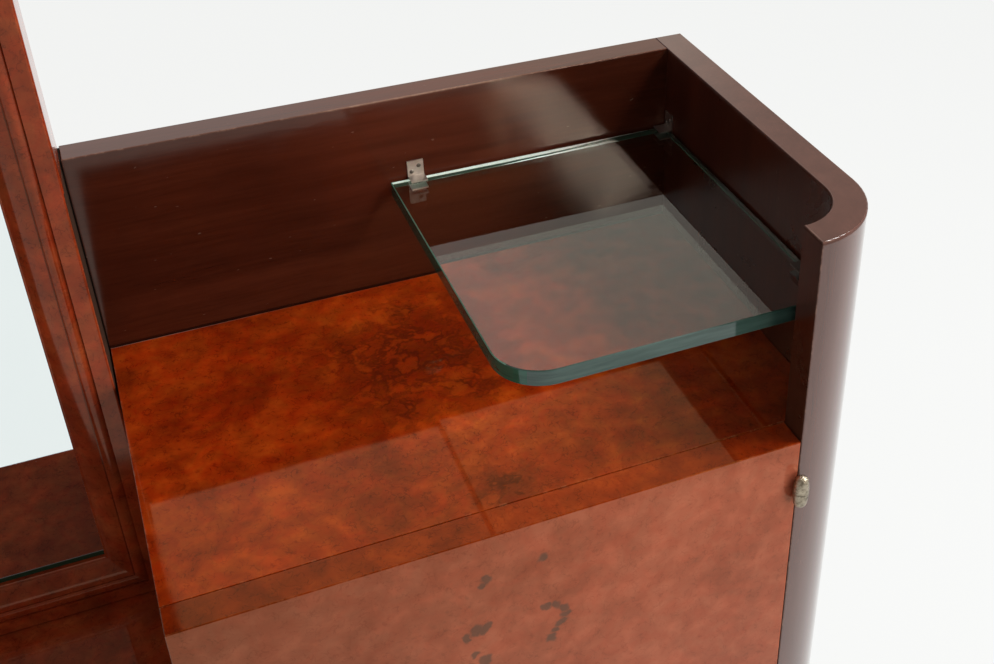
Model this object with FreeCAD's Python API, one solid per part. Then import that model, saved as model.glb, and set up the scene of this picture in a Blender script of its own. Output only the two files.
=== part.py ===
import FreeCAD, Part
import math
import os

os.makedirs("parts", exist_ok=True)
Vec = FreeCAD.Vector

# All sizes are in millimetres. X is to the right, Y to the back, Z up, with the origin on the floor.
# Boards
board = 22.0  # veneered boards of the cabinets and the middle part
ply = 6.0  # thin back boards
arris = 0.8  # rounding of the veneered edges
seam_arris = 0.35  # rounding of the edges that meet at a tight seam
fit = 0.3  # clearance round a board that stands between others

# Cabinets, measured from the face of the door and from the inner side by the mirror
carcass_depth = 311.0
cabinet_width = 468.0
cabinet_height = 640.0
gallery_rise = 156.5
corner_radius = 58.0
plinth_height = 60.0
plinth_setback = 25.0
plinth_board = 18.0
inner_shelf_height = 345.0
inner_shelf_setback = 18.0
peg_radius = 3.0
peg_length = 22.0
peg_hole = 11.0
peg_inset = 45.0
peg_play = 0.1

# Doors
door_thickness = 22.5
door_back_gap = 0.5
door_end_gap = 0.7

# Olive hinges at the outer edge of each door
hinge_inset = 39.0
olive_radius = 5.5
olive_half_height = 13.3
olive_shoulder_radius = 4.6
olive_shoulder_height = 10.2
olive_round = 2.2
olive_proud = 5.8
olive_split = 0.4
pin_radius = 1.5
pin_half_length = 8.5
pin_play = 0.05
leaf_thickness = 1.6
leaf_height = 50.0
leaf_setback = 3.0
leaf_depth = 17.0
neck_height = 6.0
leaf_fit = 0.1

# Knobs of the doors and the drawers
knob_reach = 20.0
knob_radius = 9.5
knob_dome = 4.5
knob_rim = 2.0
knob_taper = 4.0
knob_round = 0.8
knob_neck_radius = 4.0
knob_rose_radius = 8.0
knob_rose_height = 2.0
knob_shank_radius = 2.2
knob_shank_length = 14.0
knob_shank_play = 0.1
door_knob_inset = 32.0
drawer_knob_spread = 150.0

# Spring clip catch under the top board and its stud on the door
catch_sheet = 1.2
catch_width = 14.0
catch_inset = 60.0
catch_drop = 18.0
catch_reach = 22.0
stud_radius = 2.0
stud_ball_radius = 3.0
stud_base_radius = 6.0
stud_base_height = 2.0
stud_play = 0.3

# Glass shelf and its clips
glass_thickness = 12.0
glass_top_rise = 90.5
glass_length = 226.0
glass_front_setback = 29.0
glass_wall_gap = 3.0
glass_side_gap = 1.6
glass_corner_radius = 33.0
glass_polish = 0.6
clip_width = 12.4
clip_sheet = 1.1
clip_tab = 11.0
clip_rise = 13.3
clip_play = 0.1
back_clip_inset = 20.2
side_clip_from_back = 7.5
side_clip_from_front = 36.5
screw_radius = 1.0
screw_head_radius = 1.7
screw_head_height = 0.9
screw_length = 10.0
screw_play = 0.05
screw_high = 8.7
screw_low = 4.3
screw_right = 2.5
screw_left = 3.1

# Mirror
mirror_width = 600.0
mirror_top = 1600.0
mirror_side_gap = 1.2
frame_face = 39.0
frame_depth = 70.0
frame_round = 2.0
frame_band = 12.5
bead_width = 8.8
bead_fall = 1.6
bead_quirk = 0.7
quirk_depth = 2.8
ovolo_swell = 1.5
lip_recess = 10.5
lip_round = 1.5
lip_thickness = 3.0
rebate = 9.0
mirror_glass_thickness = 6.0
mirror_glass_play = 1.0
batten_width = 12.0
batten_thickness = 9.0

# Middle part with its drawers
low_drop = 202.0
low_setback = 70.0
drawer_front_thickness = 20.0
drawer_front_gap = 2.0
drawer_side_play = 1.5
drawer_top_play = 6.0
drawer_slide_play = 0.3
drawer_board = 12.0
drawer_back_gap = 14.0
drawer_bottom_sheet = 5.0
drawer_bottom_rise = 8.0
drawer_groove = 6.0
groove_fit = 0.2
runner_height = 12.0
runner_width = 16.0
rail_depth = 60.0

# Connecting bolts between each cabinet and the middle part
bolt_radius = 3.0
bolt_play = 0.1
bolt_head_radius = 6.0
bolt_head_height = 2.5
bolt_grip = 17.0
bolt_inset = 40.0

# Places that follow from the sizes
front_y = -(carcass_depth - knob_reach) / 2
cabinet_x = mirror_width / 2 + mirror_side_gap
gallery_top = cabinet_height + gallery_rise
carcass_front = max(door_thickness, board) + door_back_gap
wall_x = cabinet_width - board
wall_d = carcass_depth - board
under_top = cabinet_height - board
curl_end = cabinet_width - corner_radius
door_edge = curl_end - door_end_gap
hinge_x = curl_end - door_end_gap / 2
hinge_heights = (plinth_height + hinge_inset, cabinet_height - hinge_inset)
glass_top = cabinet_height + glass_top_rise
glass_bottom = glass_top - glass_thickness
low_top_z = cabinet_height - low_drop
low_front = low_setback + drawer_front_thickness + door_back_gap
frame_front = carcass_depth - frame_depth
half_middle = mirror_width / 2


def block(x0, x1, d0, d1, z0, z1):
    """A board between two values each of X, depth behind the door's face, and Z."""
    return Part.makeBox(x1 - x0, d1 - d0, z1 - z0, Vec(x0, front_y + d0, z0))


def at(x, d, z):
    """The point at X, a depth behind the door's face, and Z."""
    return Vec(x, front_y + d, z)


def eased(shape, radius, chosen):
    """The shape with the chosen edges rounded."""
    return shape.makeFillet(radius, [edge for edge in shape.Edges if chosen(edge)])


def any_edge(edge):
    return True


def outside_hinge_gap(edge):
    """Chooses the edges that do not lie in the door's hinge edge."""
    return not all(abs(point.Point.x - door_edge) < 0.01 for point in edge.Vertexes)


def on_door_back(edge):
    """Chooses the edges round the door's back, but not the one by the hinges."""
    in_back = all(abs(point.Point.y - front_y - door_thickness) < 0.01 for point in edge.Vertexes)
    return in_back and outside_hinge_gap(edge)


def on_door_face(edge):
    """Chooses the edges of the door's face and of its free edge, but not those round its back."""
    return outside_hinge_gap(edge) and not on_door_back(edge)


def at_height(z):
    """Chooses the edges that lie at one height."""
    return lambda edge: all(abs(point.Point.z - z) < 0.01 for point in edge.Vertexes)


def prism(edges, z0, z1):
    """A solid that stands on a closed outline drawn at height zero."""
    face = Part.Face(Part.Wire(edges))
    face.translate(Vec(0, 0, z0))
    return face.extrude(Vec(0, 0, z1 - z0))


def line(start, end):
    return Part.makeLine(at(start[0], start[1], 0), at(end[0], end[1], 0))


def corner_arc(centre, radius, from_angle, to_angle):
    """An arc in plan, with its angles in degrees from +X towards +Y."""
    points = []
    for angle in (from_angle, (from_angle + to_angle) / 2, to_angle):
        turn = math.radians(angle)
        points.append(at(centre[0] + radius * math.cos(turn), centre[1] + radius * math.sin(turn), 0))
    return Part.Arc(points[0], points[1], points[2]).toShape()


def bent_board(end_x, outer_x, front_d, back_d, radius, thickness, z0, z1):
    """A board that starts at its free end in front, turns a quarter circle and runs to the back."""
    centre = (outer_x - radius, front_d + radius)
    inner_x = outer_x - thickness
    edges = [
        corner_arc(centre, radius, -90, 0),
        line((outer_x, centre[1]), (outer_x, back_d)),
        line((outer_x, back_d), (inner_x, back_d)),
        line((inner_x, back_d), (inner_x, centre[1])),
        corner_arc(centre, radius - thickness, 0, -90),
    ]
    if end_x < centre[0]:
        edges.append(line((centre[0], front_d + thickness), (end_x, front_d + thickness)))
        edges.append(line((end_x, front_d + thickness), (end_x, front_d)))
        edges.append(line((end_x, front_d), (centre[0], front_d)))
    else:
        edges.append(line((centre[0], front_d + thickness), (centre[0], front_d)))
    return prism(edges, z0, z1)


def corner_board(x0, d0, d1, z0, z1, gap, left_radius=0.0):
    """A board inside the curled side panel, with its outer front corner parallel to the curl."""
    x1 = wall_x - gap
    centre = (curl_end, corner_radius)
    radius = corner_radius - board - gap
    drop = centre[1] - d0
    start_x = centre[0] + math.sqrt(radius ** 2 - drop ** 2)
    start_angle = -math.degrees(math.asin(drop / radius))
    edges = [
        corner_arc(centre, radius, start_angle, 0),
        line((x1, centre[1]), (x1, d1)),
        line((x1, d1), (x0, d1)),
        line((x0, d1), (x0, d0 + left_radius)),
    ]
    if left_radius > 0:
        edges.append(corner_arc((x0 + left_radius, d0 + left_radius), left_radius, 180, 270))
    edges.append(line((x0 + left_radius, d0), (start_x, d0)))
    return prism(edges, z0, z1)


def rod(radius, start, end):
    """A round bar between two points."""
    way = end - start
    return Part.makeCylinder(radius, way.Length, start, way)


def revolved(edges):
    """A solid of revolution round Z from a closed outline in the XZ plane."""
    solid = Part.Face(Part.Wire(edges)).revolve(Vec(0, 0, 0), Vec(0, 0, 1), 360)
    if solid.Volume < 0:
        solid.reverse()
    return solid


def cap_point(radius, height):
    """The point half way along a spherical cap, measured down from the cap's top."""
    ball = (radius ** 2 + height ** 2) / (2 * height)
    half_turn = math.asin(radius / ball) / 2
    return Vec(ball * math.sin(half_turn), 0, -ball * (1 - math.cos(half_turn)))


def half_olive():
    """The upper half of an olive-shaped knuckle: a swelling barrel with a rounded, domed end."""
    rim = Vec(olive_radius, 0, olive_split / 2)
    shoulder = Vec(olive_shoulder_radius, 0, olive_shoulder_height)
    tip = Vec(0, 0, olive_half_height)
    swell_radius = olive_radius - (olive_radius - olive_shoulder_radius) / 4
    swell = Vec(swell_radius, 0, (rim.z + shoulder.z) / 2)
    crown = tip + cap_point(olive_shoulder_radius, olive_half_height - olive_shoulder_height)
    middle = Vec(0, 0, rim.z)
    solid = revolved([
        Part.Arc(rim, swell, shoulder).toShape(),
        Part.Arc(shoulder, crown, tip).toShape(),
        Part.makeLine(tip, middle),
        Part.makeLine(middle, rim),
    ])
    return eased(solid, olive_round, at_height(olive_shoulder_height))


def on_right(shape):
    moved = shape.copy()
    moved.translate(Vec(cabinet_x, 0, 0))
    return moved


def on_left(shape):
    return on_right(shape).mirror(Vec(0, 0, 0), Vec(1, 0, 0))


def keep(name, solids):
    shape = solids[0] if len(solids) == 1 else Part.makeCompound(solids)
    shape.exportStep("parts/" + name + ".step")


def keep_pair(name, solids):
    """Saves a piece of the right cabinet and its mirror image for the left one."""
    keep("right_" + name, [on_right(solid) for solid in solids])
    keep("left_" + name, [on_left(solid) for solid in solids])


def keep_both(name, solids):
    """Saves the same small pieces of both cabinets as one group."""
    keep(name, [on_right(solid) for solid in solids] + [on_left(solid) for solid in solids])


# Shelf clips: a plate on the wall with one tab over the glass and one under it
def shelf_clip():
    half = clip_width / 2
    upper = glass_top + clip_play
    lower = glass_bottom - clip_play
    plate = Part.makeBox(clip_width, clip_sheet, glass_top + clip_rise - lower + clip_sheet)
    plate.translate(Vec(-half, -clip_sheet, lower - clip_sheet))
    over = Part.makeBox(clip_width, clip_tab, clip_sheet, Vec(-half, -clip_tab, upper))
    under = Part.makeBox(clip_width, clip_tab, clip_sheet, Vec(-half, -clip_tab, lower - clip_sheet))
    clip = plate.fuse([over, under]).removeSplitter()
    for x, z in screw_spots:
        clip = clip.cut(rod(screw_radius + screw_play, Vec(x, 1, z), Vec(x, -clip_sheet - 1, z)))
    return clip


def clip_screw(x, z):
    """A small dome-headed screw that holds a clip to the wall."""
    dome = screw_head_radius ** 2 / (2 * screw_head_height) + screw_head_height / 2
    head = Part.makeSphere(dome, Vec(x, -clip_sheet + dome - screw_head_height, z))
    reach = 3 * dome
    slab = Part.makeBox(2 * reach, reach, 2 * reach, Vec(x - reach, -clip_sheet - reach, z - reach))
    return head.common(slab).fuse(rod(screw_radius, Vec(x, -clip_sheet, z), Vec(x, screw_length, z)))


def screw_hole(x, z):
    return rod(screw_radius + screw_play, Vec(x, -1, z), Vec(x, screw_length + screw_play, z))


def set_on_walls(shape):
    """Copies of a clip's part on the gallery back, and on the side panel at the back and in front."""
    places = []
    for x, d, turn in clip_places:
        copy = shape.copy()
        copy.rotate(Vec(0, 0, 0), Vec(0, 0, 1), turn)
        copy.translate(at(x, d, 0))
        places.append(copy)
    return places


screw_spots = ((screw_right, glass_top + screw_high), (-screw_left, glass_top + screw_low))
clip_places = (
    (wall_x - glass_side_gap - glass_length + back_clip_inset, wall_d, 0),
    (wall_x, wall_d - side_clip_from_back, -90),
    (wall_x, glass_front_setback + side_clip_from_front, -90),
)
clips = set_on_walls(shelf_clip())
screws = []
screw_holes = []
for spot in screw_spots:
    screws += set_on_walls(clip_screw(spot[0], spot[1]))
    screw_holes += set_on_walls(screw_hole(spot[0], spot[1]))
keep_both("shelf_clips", clips)
keep_both("clip_screws", screws)

# Glass shelf with polished edges and a rounded free corner
glass_left = wall_x - glass_side_gap - glass_length
glass = corner_board(
    glass_left, glass_front_setback, wall_d - glass_wall_gap, glass_bottom, glass_top,
    glass_side_gap, glass_corner_radius,
)
rims = [edge for edge in glass.Edges if at_height(glass_top)(edge) or at_height(glass_bottom)(edge)]
keep_pair("glass_shelf", [glass.makeChamfer(glass_polish, rims)])

# Pegs of the inner shelf
pegs = []
peg_holes = []
for peg_d in (carcass_front + inner_shelf_setback + peg_inset, carcass_depth - ply - peg_inset):
    peg_z = inner_shelf_height - peg_radius - peg_play
    for wall, way in ((board, 1), (wall_x, -1)):
        inside = at(wall + way * (peg_length - peg_hole), peg_d, peg_z)
        pegs.append(rod(peg_radius, at(wall - way * peg_hole, peg_d, peg_z), inside))
        bottom = at(wall - way * (peg_hole + peg_play), peg_d, peg_z)
        peg_holes.append(rod(peg_radius + peg_play, bottom, inside))
keep_both("shelf_pegs", pegs)

# Olive hinges: the lower knuckle belongs to the curl, the upper one to the door
lower_leaves = []
upper_leaves = []
pins = []
leaf_pockets = []
for hinge_z in hinge_heights:
    axis = at(hinge_x, -olive_proud, hinge_z)
    bore = Part.makeCylinder(pin_radius + pin_play, 2 * (pin_half_length + pin_play),
                             axis - Vec(0, 0, pin_half_length + pin_play))
    knuckle = half_olive()
    for leaves, x0, flip in ((upper_leaves, door_edge - leaf_thickness, 0), (lower_leaves, curl_end, 180)):
        half = knuckle.copy()
        half.rotate(Vec(0, 0, 0), Vec(1, 0, 0), flip)
        half.translate(axis)
        sign = 1 if flip == 0 else -1
        neck_z = sorted((hinge_z + sign * olive_split / 2, hinge_z + sign * neck_height))
        neck = block(x0, x0 + leaf_thickness, -olive_proud, leaf_setback, neck_z[0], neck_z[1])
        low_z = hinge_z - leaf_height / 2
        high_z = hinge_z + leaf_height / 2
        leaf = block(x0, x0 + leaf_thickness, leaf_setback, leaf_depth, low_z, high_z)
        leaves.append(half.fuse([neck, leaf]).cut(bore))
        pocket_x = x0 - leaf_fit if flip == 0 else x0
        pocket_end = pocket_x + leaf_thickness + leaf_fit
        leaf_pockets.append(block(pocket_x, pocket_end, leaf_setback - leaf_fit, leaf_depth + leaf_fit,
                                  low_z - leaf_fit, high_z + leaf_fit))
        leaf_pockets.append(block(pocket_x, pocket_end, -leaf_fit, leaf_setback,
                                  neck_z[0] - leaf_fit, neck_z[1] + leaf_fit))
    pins.append(rod(pin_radius, axis - Vec(0, 0, pin_half_length), axis + Vec(0, 0, pin_half_length)))
keep_both("hinge_fixed_leaves", lower_leaves)
keep_both("hinge_pins", pins)
keep_pair("hinge_door_leaves", upper_leaves)

# Curled side panel
side = bent_board(curl_end, cabinet_width, 0, carcass_depth, corner_radius, board,
                  plinth_height, gallery_top)
side = eased(side, arris, at_height(gallery_top))
keep_pair("side_panel", [side.cut(leaf_pockets + peg_holes + screw_holes)])

# Boards of the cabinets
bolt_holes = []
bolts = []
stile_d = frame_front + frame_depth / 2
case_d = (low_front + carcass_depth) / 2
bolt_spots = (
    (stile_d, low_top_z + bolt_inset),
    (stile_d, under_top - bolt_inset),
    (case_d, plinth_height + board + bolt_inset),
    (case_d, min(inner_shelf_height, low_top_z - board) - bolt_inset),
)
for bolt_d, bolt_z in bolt_spots:
    tip = at(-mirror_side_gap - bolt_grip, bolt_d, bolt_z)
    seat = at(board, bolt_d, bolt_z)
    head = rod(bolt_head_radius, seat, at(board + bolt_head_height, bolt_d, bolt_z))
    bolts.append(head.fuse(rod(bolt_radius, tip, seat)))
    bolt_holes.append(rod(bolt_radius + bolt_play, tip - Vec(bolt_play, 0, 0), seat + Vec(1, 0, 0)))
keep_both("connecting_bolts", bolts)

inner_side = block(0, board, carcass_front, carcass_depth, plinth_height, under_top)
keep_pair("inner_side", [inner_side.cut(peg_holes + bolt_holes)])

top = corner_board(0, carcass_front, wall_d - fit, under_top, cabinet_height, fit)
keep_pair("top_board", [eased(top, seam_arris, at_height(cabinet_height))])

bottom_top = plinth_height + board
keep_pair("bottom_board", [
    corner_board(board, carcass_front, carcass_depth - ply, plinth_height, bottom_top, fit)])

gallery = block(0, wall_x, wall_d, carcass_depth, under_top, gallery_top)
gallery = eased(gallery, arris, at_height(gallery_top))
keep_pair("gallery_back", [gallery.cut(screw_holes)])

keep_pair("carcass_back", [
    block(board, wall_x - fit, carcass_depth - ply, carcass_depth, plinth_height, under_top)])

keep_pair("inner_shelf", [
    corner_board(board + fit, carcass_front + inner_shelf_setback, carcass_depth - ply - fit,
                 inner_shelf_height, inner_shelf_height + board, fit)])

# Knobs, each turned in one piece with a shank, a rose, a neck and a rounded head
def knob(x, face_d, z):
    rim_top = knob_reach - knob_dome
    rim_bottom = rim_top - knob_rim
    crown = Vec(0, 0, knob_reach) + cap_point(knob_radius, knob_dome)
    stations = (
        (knob_radius, rim_top),
        (knob_radius, rim_bottom),
        (knob_neck_radius, rim_bottom - knob_taper),
        (knob_neck_radius, 2 * knob_rose_height),
        (knob_rose_radius, knob_rose_height / 2),
        (knob_rose_radius, 0),
        (knob_shank_radius, 0),
        (knob_shank_radius, -knob_shank_length),
        (0, -knob_shank_length),
        (0, knob_reach),
    )
    points = [Vec(radius, 0, height) for radius, height in stations]
    edges = [Part.Arc(points[-1], crown, points[0]).toShape()]
    edges += [Part.makeLine(a, b) for a, b in zip(points, points[1:])]
    solid = revolved(edges)
    rims = [edge for edge in solid.Edges if at_height(rim_top)(edge) or at_height(rim_bottom)(edge)]
    solid = solid.makeFillet(min(knob_round, 0.4 * knob_rim), rims)
    solid.Placement = FreeCAD.Placement(at(x, face_d, z), FreeCAD.Rotation(Vec(0, 0, 1), Vec(0, -1, 0)))
    return solid


def knob_hole(x, face_d, z):
    radius = knob_shank_radius + knob_shank_play
    return rod(radius, at(x, face_d - 1, z), at(x, face_d + knob_shank_length + knob_shank_play, z))


# Door with pockets for its hinge leaves
door_middle = (plinth_height + cabinet_height) / 2
door = block(0, door_edge, 0, door_thickness, plinth_height, cabinet_height)
door = eased(eased(door, arris, on_door_face), seam_arris, on_door_back)
keep_pair("door", [door.cut(leaf_pockets + [knob_hole(door_knob_inset, 0, door_middle)])])
keep_pair("door_knob", [knob(door_knob_inset, 0, door_middle)])

# Spring clip catch: two jaws that take the ball of the door's stud
catch_x = board + catch_inset
stud_z = under_top - catch_drop
ball_d = door_thickness + catch_reach
jaw_gap = stud_ball_radius + stud_play
web_d = ball_d + stud_ball_radius + 2 * stud_play + catch_sheet
jaw_front = ball_d - 2 * stud_ball_radius
catch_x0 = catch_x - catch_width / 2
catch_x1 = catch_x + catch_width / 2
web = block(catch_x0, catch_x1, web_d, web_d + catch_sheet, stud_z - jaw_gap - catch_sheet, under_top)
foot = block(catch_x0, catch_x1, web_d, web_d + 2 * catch_reach, under_top - catch_sheet, under_top)
jaws = [
    block(catch_x0, catch_x1, jaw_front, web_d, stud_z + jaw_gap, stud_z + jaw_gap + catch_sheet),
    block(catch_x0, catch_x1, jaw_front, web_d, stud_z - jaw_gap - catch_sheet, stud_z - jaw_gap),
]
keep_both("catch_clips", [web.fuse([foot] + jaws).removeSplitter()])
stud = rod(stud_base_radius, at(catch_x, door_thickness, stud_z),
           at(catch_x, door_thickness + stud_base_height, stud_z))
stud = stud.fuse([
    rod(stud_radius, at(catch_x, door_thickness, stud_z), at(catch_x, ball_d, stud_z)),
    Part.makeSphere(stud_ball_radius, at(catch_x, ball_d, stud_z)),
])
keep_pair("catch_stud", [stud])

# Plinths: a bent board in front and outside, an inner board and a back board
plinth_outer = cabinet_width - plinth_setback
plinth_back = carcass_depth - plinth_board
keep_pair("plinth", [
    bent_board(0, plinth_outer, plinth_setback, carcass_depth, corner_radius, plinth_board,
               0, plinth_height),
    block(0, plinth_board, plinth_setback + plinth_board, carcass_depth, 0, plinth_height),
    block(plinth_board, plinth_outer - plinth_board, plinth_back, carcass_depth, 0, plinth_height),
])
keep("centre_plinth", [
    block(-half_middle, half_middle, low_setback + plinth_setback,
          low_setback + plinth_setback + plinth_board, 0, plinth_height),
    block(-half_middle, half_middle, plinth_back, carcass_depth, 0, plinth_height),
])

# Low top and the case of the middle part
inside_x = half_middle - board
under_low_top = low_top_z - board
low_top = block(-half_middle, half_middle, low_setback, carcass_depth, under_low_top, low_top_z)
keep("low_top", [eased(low_top, arris, at_height(low_top_z))])
case_side = block(inside_x, half_middle, low_front, carcass_depth, plinth_height, under_low_top)
case_side = case_side.cut([on_right(hole) for hole in bolt_holes])
keep("centre_right_side", [case_side])
keep("centre_left_side", [case_side.mirror(Vec(0, 0, 0), Vec(1, 0, 0))])
keep("centre_bottom", [
    block(-inside_x, inside_x, low_front, carcass_depth - ply, plinth_height, bottom_top)])
keep("centre_back", [
    block(-inside_x, inside_x, carcass_depth - ply, carcass_depth, plinth_height, under_low_top)])
front_middle = (plinth_height + under_low_top) / 2
rail_low = front_middle - board / 2
rail_high = front_middle + board / 2
keep("drawer_rail", [block(-inside_x, inside_x, low_front, low_front + rail_depth, rail_low, rail_high)])
runners = []
for side_x in (-inside_x, inside_x - runner_width):
    runners.append(block(side_x, side_x + runner_width, low_front, carcass_depth - ply,
                         bottom_top, bottom_top + runner_height))
    runners.append(block(side_x, side_x + runner_width, low_front + rail_depth, carcass_depth - ply,
                         rail_high - runner_height, rail_high))
keep("drawer_runners", runners)


# Drawers: the front lies over the case and under the low top, the box runs between the sides
def make_drawer(name, front_z0, front_z1, box_z0, box_z1):
    face_d = low_setback
    back_d = face_d + drawer_front_thickness
    box_x = inside_x - drawer_side_play
    end_d = carcass_depth - ply - drawer_back_gap
    front = block(-half_middle, half_middle, face_d, back_d, front_z0, front_z1)
    front = eased(front, arris, any_edge)
    middle = (front_z0 + front_z1) / 2
    knob_spots = (-drawer_knob_spread, drawer_knob_spread)
    front = front.cut([knob_hole(x, face_d, middle) for x in knob_spots])
    sheet_z = box_z0 + drawer_bottom_rise
    groove = block(-box_x + drawer_board - drawer_groove, box_x - drawer_board + drawer_groove,
                   back_d, end_d + 1, sheet_z - groove_fit, sheet_z + drawer_bottom_sheet + groove_fit)
    sides = []
    for x in (-box_x, box_x - drawer_board):
        sides.append(block(x, x + drawer_board, back_d, end_d, box_z0, box_z1).cut(groove))
    inner_x = box_x - drawer_board
    back_z = sheet_z + drawer_bottom_sheet + groove_fit
    back = block(-inner_x, inner_x, end_d - drawer_board, end_d, back_z, box_z1)
    sheet_x = inner_x + drawer_groove - groove_fit
    sheet = block(-sheet_x, sheet_x, back_d, end_d, sheet_z, sheet_z + drawer_bottom_sheet)
    keep(name + "_drawer_front", [front])
    keep(name + "_drawer_sides", sides)
    keep(name + "_drawer_back", [back])
    keep(name + "_drawer_bottom", [sheet])
    keep(name + "_drawer_knobs", [knob(x, face_d, middle) for x in knob_spots])


half_gap = drawer_front_gap / 2
make_drawer("lower", plinth_height, front_middle - half_gap,
            bottom_top + runner_height + drawer_slide_play, rail_low - drawer_top_play)
make_drawer("upper", front_middle + half_gap, under_low_top - half_gap,
            rail_high + drawer_slide_play, under_low_top - drawer_top_play)

# Moulded mirror frame: flat outer band, flat bead, quirk, ovolo and a lip over the glass
bead_end = frame_band + bead_width
ovolo_start = bead_end + bead_quirk
lip_back = lip_recess + lip_round + lip_thickness
rebate_u = frame_face - rebate


def moulding(length):
    """A straight length of the frame's section along X, its outer edge down and its face in front."""
    def spot(u, p):
        return Vec(0, front_y + frame_front + p, u)

    def straight(points):
        return [Part.makeLine(spot(*a), spot(*b)) for a, b in zip(points, points[1:])]

    def arc(a, b, c):
        return Part.Arc(spot(*a), spot(*b), spot(*c)).toShape()

    near = frame_round * (1 - math.sqrt(0.5))
    lip_near = lip_round * (1 - math.sqrt(0.5))
    run = frame_face - lip_round - ovolo_start
    drop = lip_recess - bead_fall
    chord = math.hypot(run, drop)
    swell = (ovolo_start + run / 2 + ovolo_swell * drop / chord,
             bead_fall + drop / 2 - ovolo_swell * run / chord)
    edges = straight([(rebate_u, lip_back), (rebate_u, frame_depth), (0, frame_depth), (0, frame_round)])
    edges.append(arc((0, frame_round), (near, near), (frame_round, 0)))
    edges += straight([
        (frame_round, 0),
        (frame_band, 0),
        (frame_band, bead_fall),
    ])
    edges.append(arc((frame_band, bead_fall), (frame_band + bead_width / 2, 0), (bead_end, bead_fall)))
    edges += straight([
        (bead_end, bead_fall),
        (bead_end, quirk_depth),
        (ovolo_start, quirk_depth),
        (ovolo_start, bead_fall),
    ])
    edges.append(arc((ovolo_start, bead_fall), swell, (frame_face - lip_round, lip_recess)))
    edges.append(arc((frame_face - lip_round, lip_recess), (frame_face - lip_near, lip_recess + lip_near),
                     (frame_face, lip_recess + lip_round)))
    edges += straight([(frame_face, lip_recess + lip_round), (frame_face, lip_back), (rebate_u, lip_back)])
    section = Part.Face(Part.Wire(edges))
    section.translate(Vec(-length / 2, 0, 0))
    return section.extrude(Vec(length, 0, 0))


def mitred(length):
    """The moulding with both of its ends cut to 45 degrees."""
    half = length / 2
    rear = front_y + carcass_depth + 1
    outline = [Vec(-half, rear, 0), Vec(half, rear, 0), Vec(half - frame_face, rear, frame_face),
               Vec(frame_face - half, rear, frame_face)]
    face = Part.Face(Part.makePolygon(outline + outline[:1]))
    return moulding(length).common(face.extrude(Vec(0, -frame_depth - 2, 0)))


frame_height = mirror_top - low_top_z
frame_middle = low_top_z + frame_height / 2
for name, length, reach, turn in (
    ("bottom_rail", mirror_width, frame_height / 2, 0),
    ("right_stile", frame_height, mirror_width / 2, -90),
    ("top_rail", mirror_width, frame_height / 2, 180),
    ("left_stile", frame_height, mirror_width / 2, 90),
):
    member = mitred(length)
    member.translate(Vec(0, 0, -reach))
    member.rotate(Vec(0, 0, 0), Vec(0, 1, 0), turn)
    member.translate(Vec(0, 0, frame_middle))
    if turn in (-90, 90):
        place = on_right if turn == -90 else on_left
        member = member.cut([place(hole) for hole in bolt_holes])
    keep("mirror_" + name, [member])

# Mirror glass, its backing board and the battens behind it
half_open = mirror_width / 2 - rebate_u
half_open_z = frame_height / 2 - rebate_u
glass_d = frame_front + lip_back
backing_d = glass_d + mirror_glass_thickness
batten_d = backing_d + ply
play = mirror_glass_play


def pane(d0, d1):
    return block(-half_open + play, half_open - play, d0, d1,
                 frame_middle - half_open_z + play, frame_middle + half_open_z - play)


keep("mirror_glass", [pane(glass_d, backing_d)])
keep("mirror_backing", [pane(backing_d, batten_d)])
battens = []
for sign in (-1, 1):
    x = sorted((sign * half_open, sign * (half_open - batten_width)))
    z = sorted((frame_middle + sign * half_open_z, frame_middle + sign * (half_open_z - batten_width)))
    battens.append(block(x[0], x[1], batten_d, batten_d + batten_thickness,
                         frame_middle - half_open_z, frame_middle + half_open_z))
    battens.append(block(-half_open + batten_width, half_open - batten_width, batten_d,
                         batten_d + batten_thickness, z[0], z[1]))
keep("mirror_battens", battens)
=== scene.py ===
import math

import bpy
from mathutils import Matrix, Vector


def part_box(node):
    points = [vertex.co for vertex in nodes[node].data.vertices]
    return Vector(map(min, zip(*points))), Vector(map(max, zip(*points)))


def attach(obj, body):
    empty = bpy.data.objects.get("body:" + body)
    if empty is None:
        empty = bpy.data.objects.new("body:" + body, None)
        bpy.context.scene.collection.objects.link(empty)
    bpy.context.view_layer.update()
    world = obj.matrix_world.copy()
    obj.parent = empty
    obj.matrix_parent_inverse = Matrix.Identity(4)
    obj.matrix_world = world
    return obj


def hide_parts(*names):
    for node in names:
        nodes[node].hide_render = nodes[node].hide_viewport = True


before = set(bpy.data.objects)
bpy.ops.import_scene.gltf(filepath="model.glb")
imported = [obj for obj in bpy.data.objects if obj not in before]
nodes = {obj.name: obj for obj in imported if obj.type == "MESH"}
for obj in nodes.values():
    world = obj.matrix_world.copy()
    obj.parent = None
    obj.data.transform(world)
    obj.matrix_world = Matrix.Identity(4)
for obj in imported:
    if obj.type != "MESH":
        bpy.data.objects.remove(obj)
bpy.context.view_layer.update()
gallery_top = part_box("right_gallery_back")[1][2]
top_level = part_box("right_top_board")[1][2]
door_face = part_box("right_door")[0][1]
stile_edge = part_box("mirror_right_stile")[1][0]
scene = bpy.context.scene
scene.view_settings.view_transform = "Standard"


# ---------------------------------------------------------------- node helpers

def put(tree, kind, settings=None, values=None):
    """Adds one node with its settings and the values on its sockets."""
    made = tree.nodes.new(kind)
    for name, value in (settings or {}).items():
        setattr(made, name, value)
    for socket, value in (values or {}).items():
        feed(tree, value, made.inputs[socket])
    return made


def feed(tree, value, socket):
    """Links another node's output to a socket, or writes a plain value on it."""
    if isinstance(value, bpy.types.NodeSocket):
        tree.links.new(value, socket)
    else:
        socket.default_value = value


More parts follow.
